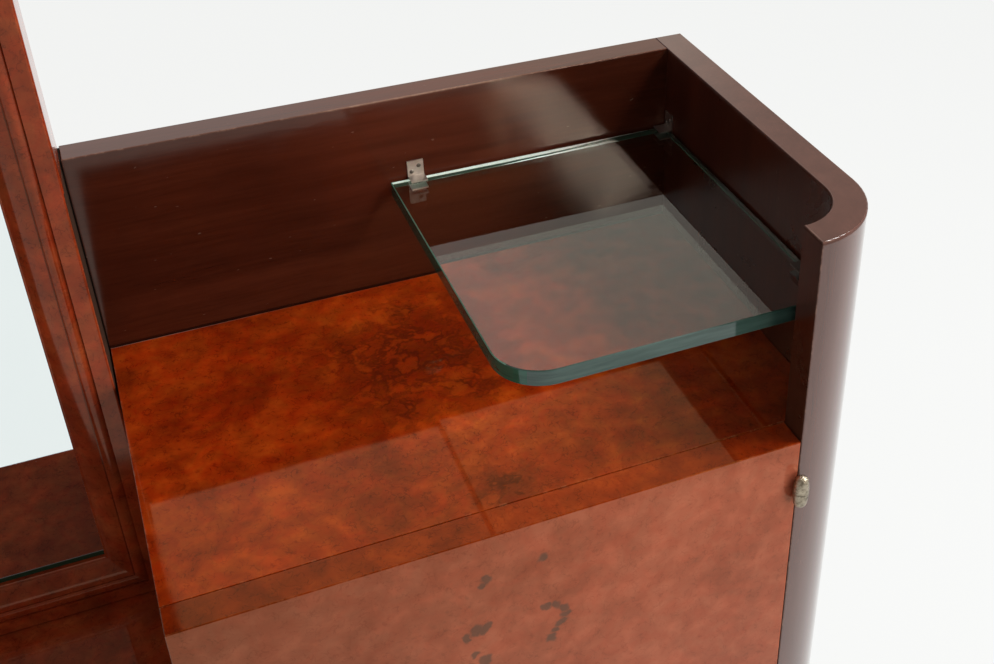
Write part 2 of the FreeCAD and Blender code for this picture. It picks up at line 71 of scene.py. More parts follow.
def maths(tree, operation, *values, clamp=False):
    made = put(tree, "ShaderNodeMath", {"operation": operation, "use_clamp": clamp})
    for socket, value in zip(made.inputs, values):
        feed(tree, value, socket)
    return made.outputs[0]


def vectors(tree, operation, *values):
    made = put(tree, "ShaderNodeVectorMath", {"operation": operation})
    for socket, value in zip(made.inputs, values):
        feed(tree, value, socket)
    return made.outputs["Value" if operation in ("LENGTH", "DISTANCE") else "Vector"]


def stretched(tree, vector, scale=(1, 1, 1), turn=(0, 0, 0), shift=(0, 0, 0)):
    made = put(tree, "ShaderNodeMapping", None,
               {"Vector": vector, "Location": shift, "Rotation": turn, "Scale": scale})
    return made.outputs["Vector"]


def noise(tree, vector, scale, detail=2.0, roughness=0.5, distortion=0.0, output="Fac"):
    made = put(tree, "ShaderNodeTexNoise", {"noise_dimensions": "3D"},
               {"Vector": vector, "Scale": scale, "Detail": detail,
                "Roughness": roughness, "Distortion": distortion})
    return made.outputs[output]


def spread(tree, value, low, high, to_low=0.0, to_high=1.0, smooth=True):
    made = put(tree, "ShaderNodeMapRange",
               {"interpolation_type": "SMOOTHSTEP" if smooth else "LINEAR", "clamp": True},
               {"Value": value, "From Min": low, "From Max": high,
                "To Min": to_low, "To Max": to_high})
    return made.outputs["Result"]


def ramp(tree, value, stops):
    made = put(tree, "ShaderNodeValToRGB", None, {"Fac": value})
    band = made.color_ramp
    while len(band.elements) < len(stops):
        band.elements.new(1.0)
    for element, (place, colour) in zip(band.elements, stops):
        element.position = place
        element.color = (*colour, 1.0)
    return made.outputs["Color"]


def blended(tree, amount, first, second, way="MIX"):
    made = put(tree, "ShaderNodeMix", {"data_type": "RGBA", "blend_type": way})
    for socket, value in ((made.inputs[0], amount), (made.inputs[6], first), (made.inputs[7], second)):
        if isinstance(value, tuple):
            value = (*value, 1.0)
        feed(tree, value, socket)
    return made.outputs[2]


def new_group(name, takes, gives):
    """An empty shader node group with named inputs and outputs."""
    tree = bpy.data.node_groups.new(name, "ShaderNodeTree")
    kinds = {"vector": "NodeSocketVector", "value": "NodeSocketFloat", "colour": "NodeSocketColor"}
    for label, kind, start in takes:
        socket = tree.interface.new_socket(label, in_out="INPUT", socket_type=kinds[kind])
        if start is not None:
            socket.default_value = start
    for label, kind in gives:
        tree.interface.new_socket(label, in_out="OUTPUT", socket_type=kinds[kind])
    return tree, tree.nodes.new("NodeGroupInput").outputs, tree.nodes.new("NodeGroupOutput").inputs


def use_group(tree, group, values):
    return put(tree, "ShaderNodeGroup", {"node_tree": group}, values).outputs


def new_material(name):
    """A material with its Principled shader, and the Object coordinates it reads."""
    made = bpy.data.materials.new(name)
    made.use_nodes = True
    tree = made.node_tree
    shader = tree.nodes["Principled BSDF"]
    place = tree.nodes.new("ShaderNodeTexCoord").outputs["Object"]
    return made, tree, shader, place


def bumped(tree, shader, height, distance, strength=1.0):
    made = put(tree, "ShaderNodeBump", None,
               {"Height": height, "Distance": distance, "Strength": strength})
    tree.links.new(made.outputs["Normal"], shader.inputs["Normal"])


# ---------------------------------------------------------------- shared effects

def make_bookmatch():
    """Folds the place at the middle of the table, so both cabinets carry matched leaves of veneer."""
    tree, takes, gives = new_group("bookmatch", [("Place", "vector", None)], [("Place", "vector")])
    parts = put(tree, "ShaderNodeSeparateXYZ", None, {"Vector": takes["Place"]}).outputs
    folded = put(tree, "ShaderNodeCombineXYZ", None,
                 {"X": maths(tree, "ABSOLUTE", parts["X"]), "Y": parts["Y"], "Z": parts["Z"]})
    tree.links.new(folded.outputs["Vector"], gives["Place"])
    return tree


def make_burl_figure():
    """The swirling figure of a burl: clouds, short feathered mottle, root-like veins and small eyes."""
    tree, takes, gives = new_group(
        "burl_figure",
        [("Place", "vector", None)],
        [("Tone", "value"), ("Veins", "value"), ("Eyes", "value"), ("Fibre", "value")])
    place = takes["Place"]
    slow = vectors(tree, "SUBTRACT", noise(tree, place, 17.0, 2.0, output="Color"), (0.5, 0.5, 0.5))
    quick = vectors(tree, "SUBTRACT", noise(tree, place, 90.0, 2.0, output="Color"), (0.5, 0.5, 0.5))
    swirled = vectors(tree, "MULTIPLY_ADD", slow, (0.020, 0.020, 0.020), place)
    swirled = vectors(tree, "MULTIPLY_ADD", quick, (0.007, 0.007, 0.007), swirled)
    clouds = noise(tree, swirled, 14.0, 3.0, 0.6)
    mottle = noise(tree, swirled, 62.0, 2.0, 0.50)
    fibre = noise(tree, swirled, 330.0, 2.0, 0.5)
    folds = maths(tree, "ABSOLUTE", maths(tree, "SUBTRACT", noise(tree, swirled, 95.0, 2.0, 0.5), 0.5))
    hairs = maths(tree, "ABSOLUTE", maths(tree, "SUBTRACT", noise(tree, swirled, 230.0, 1.5, 0.5), 0.5))
    hairs = maths(tree, "MULTIPLY", spread(tree, hairs, 0.0, 0.045, 1.0, 0.0),
                  spread(tree, noise(tree, place, 150.0, 2.0), 0.42, 0.60))
    tone = maths(tree, "MULTIPLY", clouds, 0.50)
    tone = maths(tree, "MULTIPLY_ADD", mottle, 0.44, tone)
    tone = maths(tree, "MULTIPLY_ADD", fibre, 0.06, tone)
    tone = maths(tree, "MULTIPLY_ADD", spread(tree, folds, 0.0, 0.035, 1.0, 0.0), -0.030, tone)
    tone = maths(tree, "MULTIPLY_ADD", hairs, -0.120, tone)
    tree.links.new(maths(tree, "ADD", tone, 0.022), gives["Tone"])
    tree.links.new(fibre, gives["Fibre"])
    roots = noise(tree, swirled, 62.0, 3.0, 0.62)
    offset = maths(tree, "ABSOLUTE", maths(tree, "SUBTRACT", roots, 0.5))
    tree.links.new(spread(tree, offset, 0.0, 0.095, 1.0, 0.0), gives["Veins"])
    cells = put(tree, "ShaderNodeTexVoronoi", None, {"Vector": swirled, "Scale": 95.0})
    crowd = spread(tree, noise(tree, place, 11.0, 1.0), 0.52, 0.66)
    eyes = spread(tree, cells.outputs["Distance"], 0.05, 0.2, 1.0, 0.0)
    tree.links.new(maths(tree, "MULTIPLY", eyes, crowd), gives["Eyes"])
    return tree


def make_edge_rub():
    """A broken mask along the edges of a board, whose box is given, where the finish is rubbed."""
    tree, takes, gives = new_group(
        "edge_rub",
        [("Place", "vector", None), ("Low", "vector", None), ("High", "vector", None),
         ("Width", "value", 0.002)],
        [("Edge", "value"), ("Chips", "value")])
    place = takes["Place"]
    near = vectors(tree, "MINIMUM",
                   vectors(tree, "SUBTRACT", place, takes["Low"]),
                   vectors(tree, "SUBTRACT", takes["High"], place))
    parts = put(tree, "ShaderNodeSeparateXYZ", None, {"Vector": near}).outputs
    pair_low = maths(tree, "MINIMUM", parts["X"], parts["Y"])
    pair_high = maths(tree, "MAXIMUM", parts["X"], parts["Y"])
    second = maths(tree, "MAXIMUM", pair_low, maths(tree, "MINIMUM", pair_high, parts["Z"]))
    edge = maths(tree, "SUBTRACT", 1.0, maths(tree, "DIVIDE", second, takes["Width"]), clamp=True)
    tree.links.new(edge, gives["Edge"])
    rough = noise(tree, place, 160.0, 4.0, 0.7)
    worn = maths(tree, "MULTIPLY", edge, spread(tree, rough, 0.5, 0.62))
    tree.links.new(worn, gives["Chips"])
    return tree


def make_polish():
    """A hand-rubbed polish: hazy swirls in the gloss and a faint ripple in the film."""
    tree, takes, gives = new_group(
        "hand_polish",
        [("Place", "vector", None), ("Gloss", "value", 0.05), ("Haze", "value", 0.06)],
        [("Roughness", "value"), ("Ripple", "value")])
    place = takes["Place"]
    smears = noise(tree, place, 18.0, 4.0, 0.6, 0.6)
    specks = noise(tree, place, 700.0, 2.0, 0.6)
    amount = maths(tree, "MULTIPLY", spread(tree, smears, 0.35, 0.75), takes["Haze"])
    amount = maths(tree, "MULTIPLY_ADD", spread(tree, specks, 0.62, 0.8), 0.03, amount)
    tree.links.new(maths(tree, "ADD", amount, takes["Gloss"]), gives["Roughness"])
    tree.links.new(noise(tree, place, 45.0, 2.0, 0.4), gives["Ripple"])
    return tree


def make_grain():
    """Straight open-pored grain along X of the place it is given."""
    tree, takes, gives = new_group(
        "straight_grain",
        [("Place", "vector", None), ("Fineness", "value", 1.0)],
        [("Tone", "value"), ("Pores", "value"), ("Bands", "value")])
    place = vectors(tree, "SCALE", takes["Place"])
    tree.links.new(takes["Fineness"], place.node.inputs["Scale"])
    drift = vectors(tree, "SUBTRACT", noise(tree, place, 5.0, 2.0, output="Color"), (0.5, 0.5, 0.5))
    waved = vectors(tree, "MULTIPLY_ADD", drift, (0.0, 0.02, 0.02), place)
    long_way = stretched(tree, waved, (0.05, 1.0, 1.0))
    bands = noise(tree, long_way, 45.0, 3.0, 0.55)
    lines = noise(tree, long_way, 420.0, 3.0, 0.6)
    pores = noise(tree, stretched(tree, waved, (0.035, 1.0, 1.0)), 1500.0, 1.0, 0.5)
    tone = maths(tree, "MULTIPLY_ADD", lines, 0.4, maths(tree, "MULTIPLY", bands, 0.6))
    tree.links.new(tone, gives["Tone"])
    tree.links.new(spread(tree, pores, 0.58, 0.7), gives["Pores"])
    tree.links.new(bands, gives["Bands"])
    return tree


bookmatch = make_bookmatch()
burl_figure = make_burl_figure()
edge_rub = make_edge_rub()
hand_polish = make_polish()
straight_grain = make_grain()


# ---------------------------------------------------------------- veneers and woods

BURL_DEEP = [(0.24, (0.066, 0.0052, 0.0007)), (0.40, (0.126, 0.0100, 0.0010)),
             (0.50, (0.184, 0.0160, 0.0014)), (0.60, (0.244, 0.0242, 0.0021)),
             (0.76, (0.350, 0.0460, 0.0038))]
BURL_BROWN = [(0.24, (0.075, 0.0090, 0.0028)), (0.40, (0.155, 0.0195, 0.0053)),
              (0.50, (0.215, 0.0290, 0.0076)), (0.60, (0.275, 0.0400, 0.0104)),
              (0.76, (0.380, 0.0660, 0.0160))]
BURL_LIGHT = [(0.24, (0.178, 0.0345, 0.0168)), (0.40, (0.250, 0.0520, 0.0258)),
              (0.50, (0.300, 0.0660, 0.0335)), (0.60, (0.350, 0.0820, 0.0425)),
              (0.76, (0.430, 0.1090, 0.0570))]
BURL_HUES = [(0.36, (1.04, 0.82, 0.76)), (0.64, (0.96, 1.20, 1.24))]
BURL_SMOKE = (0.055, 0.0050, 0.0012)
BURL_VEIN = (0.028, 0.0030, 0.0009)
BURL_EYE = (0.020, 0.0024, 0.0008)
BURL_INK = (0.042, 0.0340, 0.0290)
BURL_PAINTED_HIGHLIGHT = (0.130, 0.095, 0.080)
BURL_RUBBED = (0.42, 0.19, 0.10)
BURL_JOINT_SHADE = (0.012, 0.0035, 0.0018)
BLACK = (0.0, 0.0, 0.0)

MAHOGANY_RED = [(0.25, (0.024, 0.0046, 0.0020)), (0.5, (0.042, 0.0085, 0.0036)),
                (0.75, (0.064, 0.0135, 0.0056))]
MAHOGANY_GREYED = [(0.25, (0.057, 0.019, 0.012)), (0.5, (0.082, 0.029, 0.019)),
                   (0.75, (0.108, 0.040, 0.027))]
MAHOGANY_PORE = (0.022, 0.0045, 0.0020)
MAHOGANY_CORNER_SHADE = (0.006, 0.0020, 0.0012)
MAHOGANY_PAINTED_LIGHT = (0.105, 0.0220, 0.0100)
MAHOGANY_NICK = (0.160, 0.100, 0.075)
MAHOGANY_WEAR_AND_HIGHLIGHT = (0.36, 0.220, 0.155)
CURL_RADIUS = 0.058

# spans up Z and along X over which the painted light patch, the painted arris highlight and fine streaks
# come and go on the gallery
LIT_PATCH_UP = (0.66, 0.74)
LIT_PATCH_FROM = (0.42, 0.54)
LIT_PATCH_TO = (0.61, 0.68)
ARRIS_HIGHLIGHT_FROM = (0.44, 0.52)
ARRIS_HIGHLIGHT_TO = (0.60, 0.65)
STREAKED_FROM = (0.38, 0.54)


def gathered(tree, place, spots, melt):
    """The strongest of several soft spots, each with a centre and a reach; melt joins neighbours."""
    found = None
    for centre, reach in spots:
        away = vectors(tree, "DISTANCE", place, centre)
        here = spread(tree, away, 0.0, reach, 1.0, 0.0)
        found = here if found is None else maths(tree, "SMOOTH_MAX", found, here, melt)
    return found


def burl(name, low, high, stops, roots=(), blots=(), top_stops=None, painted_shade=None, tint=(1.0, 0.48, 0.10),
         gloss=0.03, haze=0.04, rubbed=0.25, golden=0.9, painted_back_highlight=False, shaded_joint=None):
    """Polished burl veneer on a board with the given box.

    roots and blots are spots of smoky figure and of dark stain. top_stops colours the upper face.
    The darkening along X, given as two places and how much darker the first is, is painted shade. The pale
    line along the back edge is a painted highlight. Past the X where the board lies in a joint, and up to
    the Z where it does, the board is painted in shade.
    """
    made, tree, shader, place = new_material(name)
    leaf = use_group(tree, bookmatch, {"Place": place})["Place"]
    figure = use_group(tree, burl_figure, {"Place": leaf})
    parts = put(tree, "ShaderNodeSeparateXYZ", None, {"Vector": leaf}).outputs
    colour = ramp(tree, figure["Tone"], stops)
    if top_stops is not None:
        upper = spread(tree, parts["Z"], high[2] - 0.0010, high[2] - 0.0004)
        colour = blended(tree, upper, colour, ramp(tree, figure["Tone"], top_stops))
    hue = noise(tree, leaf, 60.0, 3.0, 0.6, 0.8)
    colour = blended(tree, golden, colour, ramp(tree, hue, BURL_HUES), "MULTIPLY")
    veins = maths(tree, "MULTIPLY", figure["Veins"], 0.05)
    wander = vectors(tree, "SUBTRACT", noise(tree, leaf, 55.0, 3.0, 0.6, output="Color"), (0.5, 0.5, 0.5))
    if roots:
        bent = vectors(tree, "MULTIPLY_ADD", wander, (0.045, 0.045, 0.045), leaf)
        smoke = gathered(tree, bent, roots, 0.0)
        veins = maths(tree, "MAXIMUM", veins, maths(tree, "MULTIPLY", figure["Veins"], smoke))
        colour = blended(tree, maths(tree, "MULTIPLY", smoke, 0.55), colour, BURL_SMOKE)
    colour = blended(tree, maths(tree, "MULTIPLY", veins, 0.65), colour, BURL_VEIN)
    colour = blended(tree, maths(tree, "MULTIPLY", figure["Eyes"], 0.2), colour, BURL_EYE)
    if blots:
        bent = vectors(tree, "MULTIPLY_ADD", wander, (0.016, 0.0, 0.016), leaf)
        ink = spread(tree, gathered(tree, bent, blots, 0.2), 0.24, 0.72, 0.0, 0.70)
        colour = blended(tree, ink, colour, BURL_INK)
    # painted highlight: a pale line along the back edge, standing in for the light on its arris, fading
    # along X
    if painted_back_highlight:
        corner = spread(tree, parts["Y"], high[1] - 0.0012, high[1] - 0.0006)
        fading = spread(tree, parts["X"], low[0] + 0.04, low[0] + 0.14, 0.6, 0.1)
        colour = blended(tree, maths(tree, "MULTIPLY", corner, fading), colour, BURL_PAINTED_HIGHLIGHT)
    # painted shade: the veneer is darkened along X, most at the first place given
    if painted_shade is not None:
        shade_along_x = spread(tree, parts["X"], painted_shade[0], painted_shade[1], painted_shade[2], 0.0)
        colour = blended(tree, shade_along_x, colour, BLACK)
    rub = use_group(tree, edge_rub, {"Place": leaf, "Low": low, "High": high, "Width": 0.0012})
    worn = maths(tree, "MULTIPLY", rub["Chips"], rubbed)
    colour = blended(tree, worn, colour, BURL_RUBBED)
    film = use_group(tree, hand_polish, {"Place": place, "Gloss": gloss, "Haze": haze})
    rough = maths(tree, "MULTIPLY_ADD", worn, 0.3, film["Roughness"])
    # painted shade: past the given X and below the given Z, where the board lies in its joint, it is painted
    # dark and made rough
    if shaded_joint is not None:
        joint_shade = maths(tree, "MULTIPLY", spread(tree, parts["X"], shaded_joint[0], shaded_joint[0] + 0.0008),
                     spread(tree, parts["Z"], shaded_joint[1], shaded_joint[1] + 0.001, 1.0, 0.0))
        colour = blended(tree, joint_shade, colour, BURL_JOINT_SHADE)
        rough = maths(tree, "ADD", rough, joint_shade, clamp=True)
    tree.links.new(colour, shader.inputs["Base Color"])
    tree.links.new(rough, shader.inputs["Roughness"])
    height = maths(tree, "MULTIPLY_ADD", figure["Fibre"], 0.02, film["Ripple"])
    bumped(tree, shader, height, 0.00003)
    shader.inputs["IOR"].default_value = 1.5
    shader.inputs["Specular Tint"].default_value = (*tint, 1.0)
    return made


GRAIN_TURNS = {"X": (0, 0, 0), "Y": (0, 0, math.radians(90)), "Z": (0, math.radians(90), 0)}
TIMBER_PORE = (0.01, 0.005, 0.003)


def timber(name, stops, along, fineness=1.0):
    """Plain straight-grained wood with a dull finish, its grain along the named axis."""
    made, tree, shader, place = new_material(name)
    turned = stretched(tree, place, turn=GRAIN_TURNS[along])
    grain = use_group(tree, straight_grain, {"Place": turned, "Fineness": fineness})
    colour = ramp(tree, grain["Tone"], stops)
    colour = blended(tree, maths(tree, "MULTIPLY", grain["Pores"], 0.5), colour, TIMBER_PORE)
    tree.links.new(colour, shader.inputs["Base Color"])
    film = use_group(tree, hand_polish, {"Place": place, "Gloss": 0.35, "Haze": 0.15})
    tree.links.new(film["Roughness"], shader.inputs["Roughness"])
    bumped(tree, shader, maths(tree, "MULTIPLY", grain["Pores"], -1.0), 0.00012)
    return made


def outer_faces(tree, parts, low, high):
    """1 on the outer faces of the curled side panel with the given box, and 0 inside."""
    flat = put(tree, "ShaderNodeCombineXYZ", None, {"X": parts["X"], "Y": parts["Y"]}).outputs["Vector"]
    reach = vectors(tree, "DISTANCE", flat, (low[0], low[1] + CURL_RADIUS, 0.0))
    curl = maths(tree, "MULTIPLY", spread(tree, reach, CURL_RADIUS - 0.006, CURL_RADIUS - 0.002),
                 spread(tree, parts["X"], low[0] + 0.0002, low[0] + 0.0012))
    before_centre = maths(tree, "LESS_THAN", parts["Y"], low[1] + CURL_RADIUS + 0.0001)
    side = spread(tree, parts["X"], high[0] - 0.0052, high[0] - 0.0012)
    return maths(tree, "MAXIMUM", maths(tree, "MULTIPLY", curl, before_centre), side)


def mahogany(name, along, low, high, faces_out=False):
    """Dark stained mahogany on a board with the given box.

    It is deep red inside the gallery and greyed by light on the top edges, and outside too where
    faces_out is true.
    """
    made, tree, shader, place = new_material(name)
    leaf = use_group(tree, bookmatch, {"Place": place})["Place"]
    turned = stretched(tree, leaf, turn=GRAIN_TURNS[along])
    grain = use_group(tree, straight_grain, {"Place": turned, "Fineness": 1.0})
    parts = put(tree, "ShaderNodeSeparateXYZ", None, {"Vector": leaf}).outputs
    colour = ramp(tree, grain["Tone"], MAHOGANY_RED)
    colour = blended(tree, maths(tree, "MULTIPLY", grain["Pores"], 0.25), colour, MAHOGANY_PORE)
    faded = spread(tree, parts["Z"], gallery_top - 0.0008, gallery_top - 0.0003)
    matt = 0.0
    if faces_out:
        faded = maths(tree, "MAXIMUM", faded, outer_faces(tree, parts, low, high))
        matt = maths(tree, "SUBTRACT", 0.18, maths(tree, "MULTIPLY", faded, 0.18))
        rim = maths(tree, "MULTIPLY", spread(tree, parts["Z"], gallery_top - 0.0029, gallery_top - 0.0019),
                    spread(tree, parts["Z"], gallery_top - 0.00015, gallery_top - 0.00002, 1.0, 0.0))
        matt = maths(tree, "MULTIPLY_ADD", rim, 0.4, matt)
    colour = blended(tree, faded, colour, ramp(tree, grain["Tone"], MAHOGANY_GREYED))
    if not faces_out:
        # painted shade: a dark band low on the gallery, where it meets the top board
        corner_shade = maths(tree, "MULTIPLY", spread(tree, parts["Z"], top_level - 0.0005, top_level),
                     spread(tree, parts["Z"], top_level + 0.0012, top_level + 0.0032, 0.75, 0.0))
        colour = blended(tree, corner_shade, colour, MAHOGANY_CORNER_SHADE)
        # painted light: a lighter patch on the upper middle of the gallery, following its grain bands
        painted_light_patch = maths(tree, "MULTIPLY", spread(tree, parts["Z"], *LIT_PATCH_UP),
                       maths(tree, "MULTIPLY", spread(tree, parts["X"], *LIT_PATCH_FROM),
                             spread(tree, parts["X"], *LIT_PATCH_TO, 0.7, 0.0)))
        painted_light_patch = maths(tree, "MULTIPLY", painted_light_patch, spread(tree, grain["Bands"], 0.25, 0.60))
        colour = blended(tree, painted_light_patch, colour, MAHOGANY_PAINTED_LIGHT)
    nicks = spread(tree, noise(tree, stretched(tree, turned, (0.45, 1.0, 1.0)), 330.0, 1.0), 0.780, 0.82)
    colour = blended(tree, maths(tree, "MULTIPLY", nicks, 0.5), colour, MAHOGANY_NICK)
    rub = use_group(tree, edge_rub, {"Place": leaf, "Low": low, "High": high, "Width": 0.0014})
    # painted highlight: over a span of X the edges are made much lighter; the small share along all edges
    # and the chips are wear
    arris_highlight = maths(tree, "MULTIPLY", spread(tree, parts["X"], *ARRIS_HIGHLIGHT_FROM),
                    spread(tree, parts["X"], *ARRIS_HIGHLIGHT_TO, 1.0, 0.0))
    worn = maths(tree, "MULTIPLY", rub["Edge"], maths(tree, "MULTIPLY_ADD", arris_highlight, 0.50, 0.08))
    worn = maths(tree, "MULTIPLY_ADD", rub["Chips"], 0.25, worn)
    colour = blended(tree, worn, colour, MAHOGANY_WEAR_AND_HIGHLIGHT)
    tree.links.new(colour, shader.inputs["Base Color"])
    film = use_group(tree, hand_polish,
                     {"Place": place, "Gloss": 0.09 if faces_out else 0.07, "Haze": 0.06})
    tree.links.new(maths(tree, "ADD", film["Roughness"], matt, clamp=True), shader.inputs["Roughness"])
    ripple = maths(tree, "MULTIPLY", film["Ripple"], 0.12)
    height = maths(tree, "MULTIPLY_ADD", grain["Tone"], 0.16, ripple)
    if faces_out:
        film_left = maths(tree, "SUBTRACT", 0.88, maths(tree, "MULTIPLY", rim, 0.88))
        tree.links.new(maths(tree, "MULTIPLY", faded, film_left), shader.inputs["Coat Weight"])
        shader.inputs["Coat Roughness"].default_value = 0.12
        shader.inputs["Coat IOR"].default_value = 1.55
        shader.inputs["IOR"].default_value = 1.36
        shader.inputs["Specular Tint"].default_value = (1.0, 0.90, 0.85, 1.0)
    else:
        lines = noise(tree, stretched(tree, turned, (0.16, 1.0, 1.0)), 290.0, 2.0)
        lines = maths(tree, "MULTIPLY", lines, spread(tree, parts["X"], *STREAKED_FROM, 0.1, 0.8))
        height = maths(tree, "ADD", lines, height)
        shader.inputs["IOR"].default_value = 1.5
        shader.inputs["Specular Tint"].default_value = (1.0, 0.82, 0.72, 1.0)
    bumped(tree, shader, height, 0.00004)
    return made


# ---------------------------------------------------------------- glass and metal

def clear_glass():
    """Thick float glass, faintly green through its thickness."""
    made, tree, shader, place = new_material("polished_plate_glass")
    shader.inputs["Base Color"].default_value = (1.0, 1.0, 1.0, 1.0)
    shader.inputs["Transmission Weight"].default_value = 1.0
    shader.inputs["IOR"].default_value = 1.52
    film = use_group(tree, hand_polish, {"Place": place, "Gloss": 0.0, "Haze": 0.005})
    tree.links.new(film["Roughness"], shader.inputs["Roughness"])
    body = put(tree, "ShaderNodeVolumeAbsorption", None,
               {"Color": (0.50, 0.85, 0.58, 1.0), "Density": 12.0})
    shade = put(tree, "ShaderNodeBsdfTransparent", None, {"Color": (0.88, 0.92, 0.90, 1.0)})
    ray = tree.nodes.new("ShaderNodeLightPath")
    choice = put(tree, "ShaderNodeMixShader", None, {"Fac": ray.outputs["Is Shadow Ray"]})
    tree.links.new(shader.outputs["BSDF"], choice.inputs[1])
    tree.links.new(shade.outputs["BSDF"], choice.inputs[2])
    output = tree.nodes["Material Output"]
    tree.links.new(choice.outputs["Shader"], output.inputs["Surface"])
    tree.links.new(body.outputs["Volume"], output.inputs["Volume"])
    return made


def glass_edge(name, deep, pale, gloss):
    """The edge of thick glass, green and nearly solid, with streaks left by the polishing wheel."""
    made, tree, shader, place = new_material(name)
    streaks = noise(tree, stretched(tree, place, (0.1, 0.1, 1.0)), 260.0, 3.0, 0.6)
    tree.links.new(ramp(tree, streaks, [(0.35, deep), (0.65, pale)]), shader.inputs["Base Color"])
    film = use_group(tree, hand_polish, {"Place": place, "Gloss": gloss, "Haze": 0.05})
    tree.links.new(film["Roughness"], shader.inputs["Roughness"])
    shader.inputs["IOR"].default_value = 1.52
    return made


# the widths of the painted highlights along the ground arrises in centimetres, at parts of the shelf's
# length
UPPER_HIGHLIGHT = [(0.0, 0.52), (0.40, 0.74), (0.60, 0.70), (0.78, 0.20), (1.0, 0.10)]
LOWER_HIGHLIGHT = [(0.35, 0.0), (0.60, 0.22), (0.78, 0.42), (0.82, 0.0)]
CENTIMETRE = 0.01


def back_edge_highlights(low, high):
    """The shelf's back edge, ground by hand: green glass between two painted highlights along its arrises,
    of uneven width.
    """
    made, tree, shader, place = new_material("glass_back_edge")
    leaf = use_group(tree, bookmatch, {"Place": place})["Place"]
    parts = put(tree, "ShaderNodeSeparateXYZ", None, {"Vector": leaf}).outputs
    along = spread(tree, parts["X"], low[0], high[0], smooth=False)
    shaky = maths(tree, "MULTIPLY_ADD", noise(tree, leaf, 70.0, 2.0), 0.0010, -0.0005)
    # painted highlights: pale bands along the upper and lower arrises, of the listed widths
    bands = []
    for widths, inward in ((UPPER_HIGHLIGHT, maths(tree, "SUBTRACT", high[2], parts["Z"])),
                           (LOWER_HIGHLIGHT, maths(tree, "SUBTRACT", parts["Z"], low[2]))):
        width = ramp(tree, along, [(stop, (wide, wide, wide)) for stop, wide in widths])
        width = maths(tree, "MULTIPLY", width, CENTIMETRE)
        left = maths(tree, "SUBTRACT", width, maths(tree, "ADD", inward, shaky))
        bands.append(spread(tree, left, -0.0003, 0.0006))
    white = maths(tree, "MAXIMUM", *bands)
    grit = noise(tree, place, 900.0, 2.0)
    highlight_colour = ramp(tree, grit, [(0.3, (0.82, 0.77, 0.79)), (0.7, (0.98, 0.93, 0.95))])
    # the painted highlights are shown only to rays coming straight from the camera
    ray = tree.nodes.new("ShaderNodeLightPath")
    white = maths(tree, "MULTIPLY", white, maths(tree, "LESS_THAN", ray.outputs["Ray Depth"], 1.5))
    tree.links.new(blended(tree, white, (0.030, 0.060, 0.046), highlight_colour), shader.inputs["Base Color"])
    tree.links.new(maths(tree, "MULTIPLY_ADD", white, 0.5, 0.12), shader.inputs["Roughness"])
    bumped(tree, shader, maths(tree, "MULTIPLY", grit, white), 0.00003)
    shader.inputs["IOR"].default_value = 1.52
    return made


def silvered_mirror():
    """Silvered glass, slightly green, whose bottom edge shows dark green above the frame."""
    made, tree, shader, place = new_material("silvered_mirror")
    clouds = noise(tree, place, 6.0, 4.0, 0.6)
    tint = ramp(tree, clouds, [(0.3, (0.855, 0.915, 0.915)), (0.7, (0.870, 0.925, 0.925))])
    parts = put(tree, "ShaderNodeSeparateXYZ", None, {"Vector": place}).outputs
    rim = maths(tree, "SUBTRACT", parts["Z"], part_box("mirror_glass")[0][2])
    edge = spread(tree, rim, 0.0118, 0.0130, 1.0, 0.0)
    tint = blended(tree, edge, tint, (0.011, 0.034, 0.018))
    tree.links.new(tint, shader.inputs["Base Color"])
    tree.links.new(maths(tree, "SUBTRACT", 1.0, edge), shader.inputs["Metallic"])
    film = use_group(tree, hand_polish, {"Place": place, "Gloss": 0.0, "Haze": 0.02})
    tree.links.new(film["Roughness"], shader.inputs["Roughness"])
    return made


def plated(name, light, dark, gloss, haze, grit=0.00002, scale=900.0, shaded_from=None):
    """Plated metal, unevenly dull, with a cast or brushed grit; in front of a given Y it is painted dark
    brown as shade.
    """
    made, tree, shader, place = new_material(name)
    tarnish = noise(tree, place, 210.0, 4.0, 0.65)
    colour = ramp(tree, tarnish, [(0.32, dark), (0.55, light)])
    # painted shade: in front of the given Y the metal is turned dark brown
    if shaded_from is not None:
        parts = put(tree, "ShaderNodeSeparateXYZ", None, {"Vector": place}).outputs
        brown = spread(tree, parts["Y"], shaded_from - 0.01, shaded_from, 0.85, 0.0)
        colour = blended(tree, brown, colour, (0.060, 0.036, 0.026))
    tree.links.new(colour, shader.inputs["Base Color"])
    shader.inputs["Metallic"].default_value = 1.0
    finer = stretched(tree, place, (6, 6, 6))
    film = use_group(tree, hand_polish, {"Place": finer, "Gloss": gloss, "Haze": haze})
    tree.links.new(film["Roughness"], shader.inputs["Roughness"])
    bumped(tree, shader, noise(tree, place, scale, 3.0, 0.6), grit)
    return made


def felt():
    """Dark brown felt with a short nap, for the dark strip put in a joint as painted shade."""
    made, tree, shader, place = new_material("shade_felt")
    nap = noise(tree, place, 2400.0, 3.0, 0.7)
    tree.links.new(ramp(tree, nap, [(0.3, (0.010, 0.006, 0.004)), (0.7, (0.024, 0.014, 0.010))]),
                   shader.inputs["Base Color"])
    tree.links.new(spread(tree, nap, 0.3, 0.7, 0.85, 1.0), shader.inputs["Roughness"])
    bumped(tree, shader, nap, 0.0002)
    return made


# ---------------------------------------------------------------- finishes on the pieces

def board_box(*names):
    """The box of the right-hand boards, for the veneer's rubbed edges."""
    corners = [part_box(name) for name in names]
    low = tuple(min(pair[0][axis] for pair in corners) for axis in range(3))
    high = tuple(max(pair[1][axis] for pair in corners) for axis in range(3))
    return low, high


def endless_box(*names):
    """The same for boards whose ends are butted against others, so that only the long edges are rubbed."""
    low, high = board_box(*names)
    return (-1.0, low[1], low[2]), (1.0, high[1], high[2])


